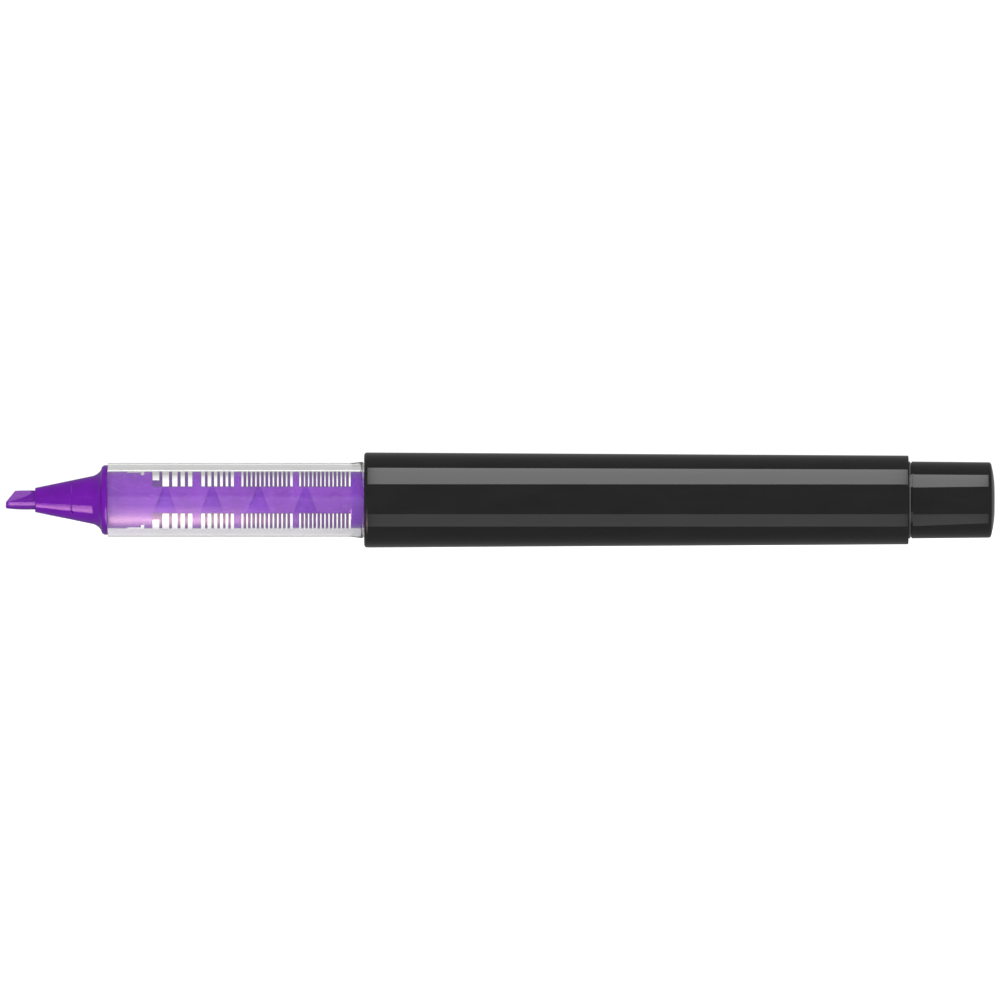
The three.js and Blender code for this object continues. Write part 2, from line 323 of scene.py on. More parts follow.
def add_block(shape, low, high):
    """Adds a box to a bmesh."""
    low, high = Vector(low) * MM, Vector(high) * MM
    place = Matrix.Translation((low + high) / 2) @ Matrix.Diagonal((*(high - low), 1))
    bmesh.ops.create_cube(shape, size=1, matrix=place)


def apply_modifiers(made):
    graph = bpy.context.evaluated_depsgraph_get()
    mesh = bpy.data.meshes.new_from_object(made.evaluated_get(graph))
    made.modifiers.clear()
    made.data = mesh
    shade(made)


def cut(made, *tools):
    """Takes the tools away from a piece. New faces keep the tool's material."""
    for tool in tools:
        modifier = made.modifiers.new("cut", "BOOLEAN")
        modifier.operation = "DIFFERENCE"
        modifier.solver = "EXACT"
        modifier.material_mode = "TRANSFER"
        modifier.object = tool
    apply_modifiers(made)
    for tool in tools:
        bpy.data.objects.remove(tool)


def soften(made, width):
    """Rounds a piece's sharp edges."""
    modifier = made.modifiers.new("soften", "BEVEL")
    modifier.width = width * MM
    modifier.segments = 2
    modifier.limit_method = "ANGLE"
    modifier.angle_limit = SOFTENED_ANGLE
    apply_modifiers(made)


# ---- Materials ----------------------------------------------------------------------------


class Surface:
    """A procedural material: a Principled shader and the nodes that drive it."""

    def __init__(self, name, **constants):
        self.material = bpy.data.materials.new(name)
        self.material.use_nodes = True
        self.nodes = self.material.node_tree.nodes
        self.links = self.material.node_tree.links
        self.shader = self.nodes["Principled BSDF"]
        for label, value in constants.items():
            socket = label.replace("_", " ").title().replace("Ior", "IOR")
            self.shader.inputs[socket].default_value = value
        self.position = self.nodes.new("ShaderNodeTexCoord").outputs["Object"]

    def link(self, source, target):
        self.links.new(source, target)

    def stretched(self, x, y, z):
        """The object's own coordinates, multiplied by x, y and z per millimetre."""
        mapping = self.nodes.new("ShaderNodeMapping")
        mapping.inputs["Scale"].default_value = (x / MM, y / MM, z / MM)
        self.link(self.position, mapping.inputs["Vector"])
        return mapping.outputs["Vector"]

    def noise(self, vector, detail=3, roughness=0.5):
        texture = self.nodes.new("ShaderNodeTexNoise")
        texture.inputs["Scale"].default_value = 1
        texture.inputs["Detail"].default_value = detail
        texture.inputs["Roughness"].default_value = roughness
        self.link(vector, texture.inputs["Vector"])
        return texture.outputs["Fac"]

    def ranged(self, value, low, high, from_low=0.3, from_high=0.7):
        """A number mapped from where noise lies to low and high."""
        mapped = self.nodes.new("ShaderNodeMapRange")
        mapped.inputs["From Min"].default_value = from_low
        mapped.inputs["From Max"].default_value = from_high
        mapped.inputs["To Min"].default_value = low
        mapped.inputs["To Max"].default_value = high
        self.link(value, mapped.inputs["Value"])
        return mapped.outputs["Result"]

    def ramp(self, value, stops):
        """A colour from a number, through (position, colour) stops."""
        ramp = self.nodes.new("ShaderNodeValToRGB")
        ramp.color_ramp.elements[0].position = stops[0][0]
        ramp.color_ramp.elements[0].color = (*stops[0][1], 1)
        ramp.color_ramp.elements[1].position = stops[-1][0]
        ramp.color_ramp.elements[1].color = (*stops[-1][1], 1)
        for position, color in stops[1:-1]:
            ramp.color_ramp.elements.new(position).color = (*color, 1)
        self.link(value, ramp.inputs["Fac"])
        return ramp.outputs["Color"]

    def bump(self, height, strength, distance):
        bump = self.nodes.new("ShaderNodeBump")
        bump.inputs["Strength"].default_value = strength
        bump.inputs["Distance"].default_value = distance * MM
        self.link(height, bump.inputs["Height"])
        self.link(bump.outputs["Normal"], self.shader.inputs["Normal"])

    def color(self, source):
        self.link(source, self.shader.inputs["Base Color"])

    def roughness(self, source):
        self.link(source, self.shader.inputs["Roughness"])


def shades(color, spread):
    """A darker and a lighter version of a colour, as ramp stops."""
    dark = tuple(channel * (1 - spread) for channel in color)
    light = tuple(channel * (1 + spread) for channel in color)
    return [(0.3, dark), (0.7, light)]


def black_plastic():
    surface = Surface("black_plastic", ior=1.5)
    clouds = surface.noise(surface.stretched(0.15, 0.5, 0.5))
    flow = surface.noise(surface.stretched(0.08, 3, 3), detail=4)
    grain = surface.noise(surface.stretched(9, 9, 9), detail=2)
    surface.color(surface.ramp(clouds, shades((0.0062, 0.0062, 0.0064), 0.15)))
    surface.roughness(surface.ranged(flow, 0.028, 0.036))
    surface.bump(grain, 0.003, 0.02)
    return surface.material


def purple_plastic():
    surface = Surface("purple_plastic", ior=1.5)
    clouds = surface.noise(surface.stretched(0.5, 0.7, 0.7))
    flow = surface.noise(surface.stretched(0.5, 4, 4), detail=4)
    grain = surface.noise(surface.stretched(12, 12, 12), detail=2)
    surface.color(surface.ramp(clouds, shades((0.093, 0.0015, 0.225), 0.1)))
    surface.roughness(surface.ranged(flow, 0.07, 0.13))
    surface.bump(grain, 0.02, 0.02)
    return surface.material


def collector_plastic(name, color, roughness, specular=0.5):
    surface = Surface(name, ior=1.5, specular_ior_level=specular)
    wetness = surface.noise(surface.stretched(0.5, 0.35, 0.35), detail=4, roughness=0.6)
    flow = surface.noise(surface.stretched(1.5, 3, 3), detail=3)
    surface.color(surface.ramp(wetness, shades(color, 0.13)))
    surface.roughness(surface.ranged(flow, *roughness))
    surface.bump(flow, 0.05, 0.05)
    return surface.material


def clear_plastic():
    surface = Surface("clear_plastic", ior=1.49, transmission_weight=1)
    flow = surface.noise(surface.stretched(0.3, 0.6, 0.6), detail=3)
    surface.color(surface.ramp(flow, [(0.35, (0.93, 0.935, 0.92)), (0.65, (0.985, 0.985, 0.98))]))
    surface.roughness(surface.ranged(flow, 0.015, 0.045))
    surface.bump(flow, 0.03, 0.05)
    return surface.material


def nib_felt():
    surface = Surface("nib_felt", ior=1.5)
    fibres = surface.noise(surface.stretched(0.7, 14, 14), detail=5, roughness=0.65)
    tufts = surface.noise(surface.stretched(5, 9, 9), detail=4, roughness=0.6)
    surface.color(surface.ramp(fibres, shades((0.084, 0.004, 0.2), 0.25)))
    surface.roughness(surface.ranged(tufts, 0.1, 0.16))
    surface.bump(fibres, 0.06, 0.03)
    return surface.material


def cut_felt():
    surface = Surface("cut_felt", ior=1.45, sheen_weight=0.1)
    ends = surface.noise(surface.stretched(2, 5, 5), detail=5, roughness=0.7)
    surface.color(surface.ramp(ends, shades((0.155, 0.027, 0.29), 0.35)))
    surface.roughness(surface.ranged(ends, 0.6, 0.9))
    surface.bump(ends, 0.4, 0.04)
    return surface.material


def wick_fibre():
    surface = Surface("wick_fibre", sheen_weight=0.3)
    fibres = surface.noise(surface.stretched(0.3, 12, 12), detail=5, roughness=0.65)
    surface.color(surface.ramp(fibres, shades((0.13, 0.012, 0.33), 0.3)))
    surface.roughness(surface.ranged(fibres, 0.6, 0.9))
    surface.bump(fibres, 0.4, 0.04)
    return surface.material


def seal_rubber():
    surface = Surface("seal_rubber", ior=1.5)
    grain = surface.noise(surface.stretched(14, 14, 14), detail=3)
    surface.color(surface.ramp(grain, shades((0.022, 0.022, 0.024), 0.2)))
    surface.roughness(surface.ranged(grain, 0.5, 0.7))
    surface.bump(grain, 0.15, 0.02)
    return surface.material


def tank_plastic():
    surface = Surface("tank_plastic", ior=1.5, transmission_weight=0.85)
    flow = surface.noise(surface.stretched(0.2, 1.5, 1.5), detail=4)
    surface.color(surface.ramp(flow, [(0.3, (0.82, 0.82, 0.86)), (0.7, (0.9, 0.9, 0.93))]))
    surface.roughness(surface.ranged(flow, 0.2, 0.32))
    surface.bump(flow, 0.05, 0.05)
    return surface.material


def ink_liquid():
    surface = Surface("ink_liquid", ior=1.34)
    depth = surface.noise(surface.stretched(0.25, 0.4, 0.4), detail=2)
    surface.color(surface.ramp(depth, shades((0.07, 0.005, 0.22), 0.15)))
    surface.roughness(surface.ranged(depth, 0.02, 0.05))
    return surface.material


def grey_seal():
    surface = Surface("grey_seal", ior=1.5)
    grain = surface.noise(surface.stretched(10, 10, 10), detail=3)
    surface.color(surface.ramp(grain, shades((0.09, 0.09, 0.095), 0.15)))
    surface.roughness(surface.ranged(grain, 0.35, 0.5))
    surface.bump(grain, 0.1, 0.02)
    return surface.material


# ---- The pieces ---------------------------------------------------------------------------


def place(made, node, body, slot):
    """Puts a piece in the place of a CAD node."""
    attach(made, body)
    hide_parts(node)


def nib_planes():
    """The planes of the nib's end, as (point, outward normal) pairs."""
    forward = Vector((-1, 0, 0))
    across = Vector((0, -math.cos(WEDGE_TURN), math.sin(WEDGE_TURN)))
    along = Vector((0, math.sin(WEDGE_TURN), math.cos(WEDGE_TURN)))
    tip = Vector((TIP, 0, 0))
    slant_middle = tip - forward * (NIB_RADIUS - BLUNT_TIP_DEPTH) / math.tan(SLANT_ANGLE)
    slant_normal = forward * math.sin(SLANT_ANGLE) + along * math.cos(SLANT_ANGLE)
    planes = [(tip, forward), (slant_middle, slant_normal)]
    for side in (1, -1):
        normal = forward * math.sin(WEDGE_HALF_ANGLE) + across * side * math.cos(WEDGE_HALF_ANGLE)
        planes.append((tip + across * side * WEDGE_TIP_THICKNESS / 2, normal))
    return planes


def make_nib(skin, cut_face):
    """A rod with a cut end. The end is where rays from a point inside meet its planes."""
    core = Vector((TIP + NIB_CORE, 0, 0))
    planes = nib_planes()
    depths = [(point - core).dot(normal) for point, normal in planes]
    turns = all_turns(ROUND_SIDES)
    shape = bmesh.new()

    def end_point(lean, turn):
        """The corners between planes are rounded by a high power instead of a maximum."""
        direction = around(-math.cos(lean), math.sin(lean), turn)
        nearness = [max(0, plane[1].dot(direction)) / depth for plane, depth in zip(planes, depths)]
        nearness.append(math.hypot(direction.y, direction.z) / NIB_RADIUS)
        total = sum(value**NIB_EDGE_SHARPNESS for value in nearness)
        return core + direction / total ** (1 / NIB_EDGE_SHARPNESS)

    rings = [[shape.verts.new(end_point(0, 0) * MM)]]
    for step in range(1, NIB_END_RINGS + 1):
        lean = math.pi / 2 * step / NIB_END_RINGS
        rings.append([shape.verts.new(end_point(lean, turn) * MM) for turn in turns])
    for step in range(1, NIB_ROD_RINGS + 1):
        station = core.x + (NIB_BACK - core.x) * step / NIB_ROD_RINGS
        rings.append([shape.verts.new(around(station, NIB_RADIUS, turn) * MM) for turn in turns])
    rings.append([shape.verts.new((NIB_BACK * MM, 0, 0))])
    bridge(shape, rings)
    for face in shape.faces:
        middle = face.calc_center_median() / MM
        on_cut = any((middle - point).dot(normal) > -CUT_MARGIN for point, normal in planes)
        face.material_index = 1 if on_cut else 0
    made = piece("felt_nib", shape, [skin, cut_face])
    place(made, "nib", "ink_unit", "nib_felt")
    return made


def vent_drill(material):
    """A rod from the nib's bore out through the cone's wall, for the vent hole."""
    lean = Matrix.Rotation(VENT_ANGLE, 4, "X")
    centre = lean @ Vector((0, -NIB_BORE - VENT_DRILL_LENGTH / 2, 0)) + Vector((VENT_STATION, 0, 0))
    shape = bmesh.new()
    bmesh.ops.create_cone(
        shape,
        cap_ends=True,
        segments=VENT_SIDES,
        radius1=VENT_RADIUS * MM,
        radius2=VENT_RADIUS * MM,
        depth=VENT_DRILL_LENGTH * MM,
        matrix=Matrix.Translation(centre * MM) @ lean @ Matrix.Rotation(math.pi / 2, 4, "X"),
    )
    return piece("vent_drill", shape, [material])


def make_nose_cone(material):
    flare_centre = (
        CONE_ROOT - FLARE_RADIUS * math.sin(FLARE_START),
        CONE_ROOT_RADIUS + FLARE_RADIUS * math.cos(FLARE_START),
    )
    round_centre = (FLANGE_BACK - FLANGE_RIM_WIDTH, FLANGE_RADIUS - FLANGE_ROUND)
    quarter = math.pi / 2
    flare = arc(flare_centre, FLARE_RADIUS, FLARE_START - quarter, FLARE_END - quarter, FLARE_STEPS)
    slope = (flare[0][1] - CONE_MOUTH_RADIUS) / (flare[0][0] - CONE_MOUTH)
    line = [
        (CONE_LINE + offset, CONE_MOUTH_RADIUS + slope * (CONE_LINE + offset - CONE_MOUTH) - depth)
        for offset, depth in ((-CONE_LINE_WIDTH / 2, 0), (0, CONE_LINE_DEPTH), (CONE_LINE_WIDTH / 2, 0))
    ]
    start, end = CONE_CAVITY
    corners = [
        (CONE_MOUTH, NIB_BORE, 0.04),
        (CONE_MOUTH, CONE_MOUTH_RADIUS, 0.1),
        *plain(line),
        *plain(flare),
        *plain(arc(round_centre, FLANGE_ROUND, math.pi, quarter)),
        (FLANGE_BACK, FLANGE_RADIUS, 0.06),
        (FLANGE_BACK, CONE_SPIGOT_RADIUS, 0),
        (CONE_BACK, CONE_SPIGOT_RADIUS, 0.1),
        (CONE_BACK, NIB_BORE, 0),
        (end, NIB_BORE, 0),
        (end - CONE_CAVITY_TAPER, CONE_CAVITY_RADIUS, 0),
        (start + CONE_CAVITY_TAPER, CONE_CAVITY_RADIUS, 0),
        (start, NIB_BORE, 0),
    ]
    made = turned("cone_shell", corners, material)
    cut(made, vent_drill(material))
    place(made, "nose_cone", "ink_unit", "purple_plastic")
    return made


def make_clear_sleeve(material):
    """The clear tube, which casts no shadow, so that what is inside it stays bright."""
    front = FLANGE_BACK + HAIRLINE
    flare_front = SLEEVE_FLARE_BACK - SLEEVE_FLARE_LENGTH
    ramp_start, ramp_end = SLEEVE_RAMP_FILLETS
    corners = [
        (front, SLEEVE_BORE, 0.03),
        (front, SLEEVE_RADIUS, 0.04),
        (flare_front - SLEEVE_RAMP_LENGTH, SLEEVE_RADIUS, ramp_start),
        (flare_front, SLEEVE_FLARE_RADIUS, ramp_end),
        (SLEEVE_FLARE_BACK, SLEEVE_FLARE_RADIUS, 0.1),
        (SLEEVE_FLARE_BACK, SLEEVE_RADIUS, 0.05),
        (SLEEVE_BACK, SLEEVE_RADIUS, 0.1),
        (SLEEVE_BACK, SLEEVE_BORE, 0.05),
    ]
    made = turned("sleeve_tube", corners, material)
    made.visible_shadow = False
    made.visible_diffuse = False
    place(made, "clear_sleeve", "ink_unit", "clear_plastic")
    return made


def collector_lands():
    """The stretches of the collector that keep their full radius, in order."""
    lands = [*SOLID_PARTS]
    for middle, count, pitch, shrink, thickness in FIN_GROUPS:
        for _ in range(count):
            lands.append((middle - thickness / 2, middle + thickness / 2))
            middle += pitch
            pitch *= shrink
    return sorted(lands)


def slot_cutters(material):
    """Blocks that cut the slots between the fins, above and below the flat web, and the flats.

    The second piece holds the flats that would touch blocks of the first.
    """
    lands = collector_lands()
    slots = [(last[1], land[0], WEB_HALF_HEIGHT) for last, land in zip(lands, lands[1:])]
    slots[0] = (*slots[0][:2], FRONT_SLOT_HALF_HEIGHT)
    reach = COLLECTOR_RADIUS + 1
    cutters = []
    for cuts in ([HUB_FLATS[0], *slots], [HUB_FLATS[1]]):
        shape = bmesh.new()
        for start, end, floor in cuts:
            start, end = COLLECTOR_FRONT + start, COLLECTOR_FRONT + end
            add_block(shape, (start, -reach, floor), (end, reach, reach))
            add_block(shape, (start, -reach, -reach), (end, reach, -floor))
        cutters.append(piece("slot_cutter", shape, [material]))
    return cutters


def pocket_cutter(material):
    """Wedges that leave shallow triangular pockets in both sides of the web."""
    shape = bmesh.new()
    floor = COLLECTOR_RADIUS - POCKET_DEPTH
    half = WEB_HALF_HEIGHT - POCKET_MARGIN
    outline = [
        (-POCKET_TOP_WIDTH / 2, half),
        (POCKET_TOP_WIDTH / 2, half),
        (POCKET_FOOT_WIDTH / 2, -half),
        (-POCKET_FOOT_WIDTH / 2, -half),
    ]
    for i in range(POCKET_COUNT):
        middle = COLLECTOR_FRONT + POCKET_FIRST + i * POCKET_PITCH
        for side in (-1, 1):
            rows = []
            for reach_out in (0, 1):
                row = []
                for x, z in outline:
                    depth = math.sqrt(floor**2 - z**2) + reach_out
                    row.append(shape.verts.new(Vector((middle + x, side * depth, z)) * MM))
                rows.append(row)
            inner, outer = rows
            shape.faces.new(inner)
            shape.faces.new(outer)
            for j in range(len(outline)):
                after = (j + 1) % len(outline)
                shape.faces.new([inner[j], inner[after], outer[after], outer[j]])
    bmesh.ops.recalc_face_normals(shape, faces=shape.faces)
    return piece("pocket_cutter", shape, [material])


def paint_collector(made):
    """Gives the fins and the rear collar's rim their own materials, which follow the first. The rim's
    darker colour is painted shade, where the barrel shades the collar.
    """
    shade_painted, fins = 1, 2
    groups = [(last[1], part[0]) for last, part in zip(SOLID_PARTS, SOLID_PARTS[1:])]
    for face in made.data.polygons:
        station = face.center.x / MM - COLLECTOR_FRONT
        on_rim = math.hypot(face.center.y, face.center.z) / MM > COLLECTOR_RADIUS - RIM_DEPTH
        in_group = any(start < station < end for start, end in groups)
        # painted shade: the collar's rim is made darker where the barrel shades it
        if on_rim and station > COLLAR[0]:
            face.material_index = shade_painted
        elif in_group and abs(face.center.z) / MM > WEB_HALF_HEIGHT:
            face.material_index = fins


def make_collector(material, shade_painted_material, fin_material):
    front = FLANGE_BACK + HAIRLINE
    back = COLLECTOR_FRONT + COLLAR[1]
    groove = (RING_FRONT + RING_BACK) / 2
    borders = [COLLECTOR_FRONT + station for part in SOLID_PARTS for station in part][1:]
    corners = plain(
        [
            (front, CONE_SPIGOT_RADIUS + FIT_GAP),
            (front, COLLECTOR_RADIUS),
            *((border, COLLECTOR_RADIUS) for border in borders),
            (back, COLLECTOR_SPIGOT_RADIUS),
            (groove - RING_GROOVE_WIDTH / 2, COLLECTOR_SPIGOT_RADIUS),
            (groove - RING_GROOVE_WIDTH / 2, RING_GROOVE_RADIUS),
            (groove + RING_GROOVE_WIDTH / 2, RING_GROOVE_RADIUS),
            (groove + RING_GROOVE_WIDTH / 2, COLLECTOR_SPIGOT_RADIUS),
            (COLLECTOR_BACK, COLLECTOR_SPIGOT_RADIUS),
            (COLLECTOR_BACK, WICK_ROOM),
            (NIB_BACK + FIT_GAP, WICK_ROOM),
            (NIB_BACK + FIT_GAP, NIB_BORE),
            (CONE_BACK + FIT_GAP, NIB_BORE),
            (CONE_BACK + FIT_GAP, CONE_SPIGOT_RADIUS + FIT_GAP),
        ]
    )
    made = turned("finned_collector", corners, material)
    for extra in (shade_painted_material, fin_material):
        made.data.materials.append(extra)
    channel = bmesh.new()
    add_block(
        channel,
        (COLLECTOR_FRONT - 1, -AIR_CHANNEL_WIDTH / 2, AIR_CHANNEL_FLOOR),
        (COLLECTOR_FRONT + COLLAR[0], AIR_CHANNEL_WIDTH / 2, COLLECTOR_RADIUS + 1),
    )
    channel_cutter = piece("channel_cutter", channel, [material])
    # the pockets' faces take the darker material, which paints shade into these recesses
    cut(made, *slot_cutters(material), channel_cutter, pocket_cutter(shade_painted_material))
    soften(made, COLLECTOR_EDGE)
    paint_collector(made)
    place(made, "ink_collector", "ink_unit", "collector_plastic")
    return made


def make_wick(material):
    def flutes(turn):
        return 1 - WICK_FLUTE_DEPTH * (0.5 + 0.5 * math.cos(WICK_FLUTES * turn))

    corners = [
        (WICK_FRONT, 0, 0),
        (WICK_FRONT, WICK_RADIUS, 0.08),
        (WICK_BACK, WICK_RADIUS, 0.15),
        (WICK_BACK, 0, 0),
    ]
    shape = spun(rounded(corners, False), WICK_FLUTES * SIDES_PER_FLUTE, flutes)
    made = piece("fibre_wick", shape, [material])
    place(made, "feed_wick", "ink_unit", "wick_fibre")
    return made


def make_tank_seal(material):
    centre = ((RING_FRONT + RING_BACK) / 2, outer_radius("tank_seal") - RING_RADIUS)
    ring = arc(centre, RING_RADIUS, 0, math.tau, RING_STEPS)[:-1]
    made = piece("seal_ring", spun([*ring, ring[0]], SMALL_SIDES), [material])
    place(made, "tank_seal", "ink_unit", "seal_rubber")
    return made


def make_tank(material):
    bore = TANK_RADIUS - TANK_WALL
    corners = [
        (TANK_BACK - TANK_WALL, 0, 0),
        (TANK_BACK - TANK_WALL, bore, TANK_END_ROUND - TANK_WALL),
        (TANK_FRONT + TANK_NECK_LENGTH + 1, bore, 0),
        (TANK_FRONT + TANK_NECK_LENGTH, TANK_NECK_BORE, 0.1),
        (TANK_FRONT, TANK_NECK_BORE, 0.15),
        (TANK_FRONT, TANK_RADIUS, 0.15),
        (TANK_BACK, TANK_RADIUS, TANK_END_ROUND),
        (TANK_BACK, 0, 0),
    ]
    made = turned("tank_cup", corners, material)
    place(made, "ink_tank", "ink_unit", "tank_plastic")
    return made


def make_ink(material):
    """The ink with its level surface, which climbs a little at the tank's wall."""
    spigot_room = WICK_BACK + FIT_GAP
    corners = [
        (spigot_room, 0, 0),
        (spigot_room, WICK_ROOM, 0),
        (INK_FRONT, WICK_ROOM, 0),
        (INK_FRONT, INK_RADIUS, 0.1),
        (INK_BACK, INK_RADIUS, 0.5),
        (INK_BACK, 0, 0),
    ]
    shape = spun(rounded(corners, False), ROUND_SIDES)
    everything = [*shape.verts, *shape.edges, *shape.faces]
    rim_height = INK_LEVEL + sum(drop for _, drop in MENISCUS)
    rim_point = (0, 0, rim_height * MM)
    result = bmesh.ops.bisect_plane(
        shape, geom=everything, plane_co=rim_point, plane_no=(0, 0, 1), clear_outer=True
    )
    rim = [item for item in result["geom_cut"] if isinstance(item, bmesh.types.BMEdge)]
    surface = bmesh.ops.contextual_create(shape, geom=rim)["faces"]
    for inset, drop in MENISCUS:
        bmesh.ops.inset_region(shape, faces=surface, thickness=inset * MM, depth=0)
        for vertex in {vertex for face in surface for vertex in face.verts}:
            vertex.co.z -= drop * MM
    bmesh.ops.recalc_face_normals(shape, faces=shape.faces)
    made = piece("ink_fill", shape, [material])
    place(made, "ink", "ink_unit", "ink_liquid")
    return made


def make_barrel(material):
    corners = [
        (BARREL_FRONT, BARREL_MOUTH_BORE, 0.12),
        (BARREL_FRONT, BARREL_MOUTH_RADIUS, 0.4),
        (BARREL_BACK, BARREL_END_RADIUS, 0.12),
        (BARREL_BACK, BARREL_END_BORE, 0.1),
        (BARREL_BACK - BARREL_END_BORE_LENGTH, BARREL_END_BORE, 0),
        (BARREL_BACK - BARREL_END_BORE_LENGTH, BARREL_BORE, 0),
        (BARREL_FRONT + BARREL_MOUTH_BORE_DEPTH, BARREL_BORE, 0),
        (BARREL_FRONT + BARREL_MOUTH_BORE_DEPTH, BARREL_MOUTH_BORE, 0.08),
    ]
    made = turned("barrel_tube", corners, material)
    place(made, "barrel", "holder", "black_plastic")
    return made


def make_plug_seal(material):
    bore = PLUG_SPIGOT_RADIUS + FIT_GAP / 2
    corners = [
        (SEAL_FRONT, bore, 0.03),
        (SEAL_FRONT, PLUG_SHOULDER_RADIUS, 0.05),
        (SEAL_BACK, PLUG_SHOULDER_RADIUS, 0.05),
        (SEAL_BACK, bore, 0.03),
    ]
    made = turned("seal_washer", corners, material)
    place(made, "plug_seal", "holder", "grey_seal")
    return made


def make_end_plug(material):
    bore = PLUG_SPIGOT_RADIUS - PLUG_WALL
    groove_back = PLUG_SHOULDER + PLUG_GROOVE_WIDTH
    groove_radius = PLUG_SHOULDER_RADIUS - PLUG_GROOVE_DEPTH
    rim = PLUG_END_RADIUS - PLUG_CORNER_ROUND
    run = rim - PLUG_PAD_RADIUS
    dome_radius = (run**2 + PLUG_DOME_HEIGHT**2) / (2 * PLUG_DOME_HEIGHT)
    dome_centre = (REAR - dome_radius, PLUG_PAD_RADIUS)
    dome = arc(dome_centre, dome_radius, math.asin(run / dome_radius), 0, PLUG_DOME_STEPS)
    corner_centre = (REAR - PLUG_DOME_HEIGHT - PLUG_CORNER_ROUND, rim)
    corner = arc(corner_centre, PLUG_CORNER_ROUND, math.pi / 2, PLUG_CORNER_END, PLUG_CORNER_STEPS)
    corners = [
        (REAR - PLUG_END_WALL, 0, 0),
        (REAR - PLUG_END_WALL, bore, 0.5),
        (PLUG_FRONT, bore, 0),
        (PLUG_FRONT, PLUG_SPIGOT_RADIUS, 0.2),
        (PLUG_SHOULDER, PLUG_SPIGOT_RADIUS, 0),
        (PLUG_SHOULDER, groove_radius, 0),
        (groove_back, groove_radius, 0),
        (groove_back, PLUG_SHOULDER_RADIUS, 0.05),
        *plain(corner),
        *plain(dome[1:]),
        (REAR, 0, 0),
    ]
    made = turned("plug_cup", corners, material)
    place(made, "end_plug", "holder", "black_plastic")
    return made


def make_pieces():
    purple = purple_plastic()
    black = black_plastic()
    make_nib(nib_felt(), cut_felt())
    make_nose_cone(purple)
    make_clear_sleeve(clear_plastic())
    make_collector(
        collector_plastic("collector_plastic", (0.165, 0.035, 0.345), (0.16, 0.3)),
        # darker colour: painted shade on the collar's rim and in the web's pockets
        collector_plastic("shade_painted_collector_plastic", (0.133, 0.013, 0.35), (0.16, 0.3)),
        collector_plastic("fin_plastic", (0.1, 0.04, 0.19), (0.35, 0.5), specular=0.22),
    )
    make_wick(wick_fibre())
    make_tank_seal(seal_rubber())
    make_tank(tank_plastic())
    make_ink(ink_liquid())
    make_barrel(black)
    make_plug_seal(grey_seal())
    make_end_plug(black)


# ---- Studio -------------------------------------------------------------------------------

SENSOR_WIDTH = 36
LENS = 1000
PICTURE_WIDTH = 136.5  # what the picture's width takes in, at the pen
CAMERA_DISTANCE = PICTURE_WIDTH * LENS / SENSOR_WIDTH
FLOOR_SIZE = 12000
FLOOR_GLOW = 0.33
CARD_DISTANCE = 500
CARD_COLUMNS = 16
CARD_ROWS = 24
SKY = 1.08
SKY_IN_REFLECTIONS = 0.25
BACKDROP_HEIGHTS = (0.12, 0.26)  # sines of the elevations between which the backdrop dims
BACKDROP_LEVELS = (1.3, 0.65)
GAP_HEIGHTS = (0.45, 0.53)  # sines of the elevations between which the light for the gap sets in
GAP_LEVELS = (0, 1.8)
WALL_REFRACTIONS = 2
KEY_PLACE = (-0.1, -1, 0.12)  # in metres, as is the key light's size
KEY_SIZE = (0.9, 0.5)
KEY_POWER = 9
UPPER_GLOW = [3.7, 3.7]
LOWER_GLOW = [1.06, 1.06]
BARREL_SHINE_FRONT = BARREL_FRONT + 0.5
CONE_GLOW_BEND = CONE_MOUTH + 5.15
SLEEVE_GLOW_SHARES = [
    # station, share of the light that the highlight has there
    (SLEEVE_FRONT, 1),
    (SLEEVE_FRONT + 12.45, 1),
    (SLEEVE_FRONT + 18.95, 0.45),
    (SLEEVE_FRONT + 26.45, 0.12),
    (SLEEVE_FLARE_BACK, 0.1),
]


def make_camera():
    data = bpy.data.cameras.new("camera")
    data.sensor_width = SENSOR_WIDTH
    data.lens = LENS
    data.clip_end = 3 * CAMERA_DISTANCE * MM
    camera = bpy.data.objects.new("camera", data)
    camera.location = Vector(((TIP + REAR) / 2, -CAMERA_DISTANCE, 0)) * MM
    camera.rotation_euler = (math.pi / 2, 0, 0)
    bpy.context.scene.collection.objects.link(camera)
    bpy.context.scene.camera = camera


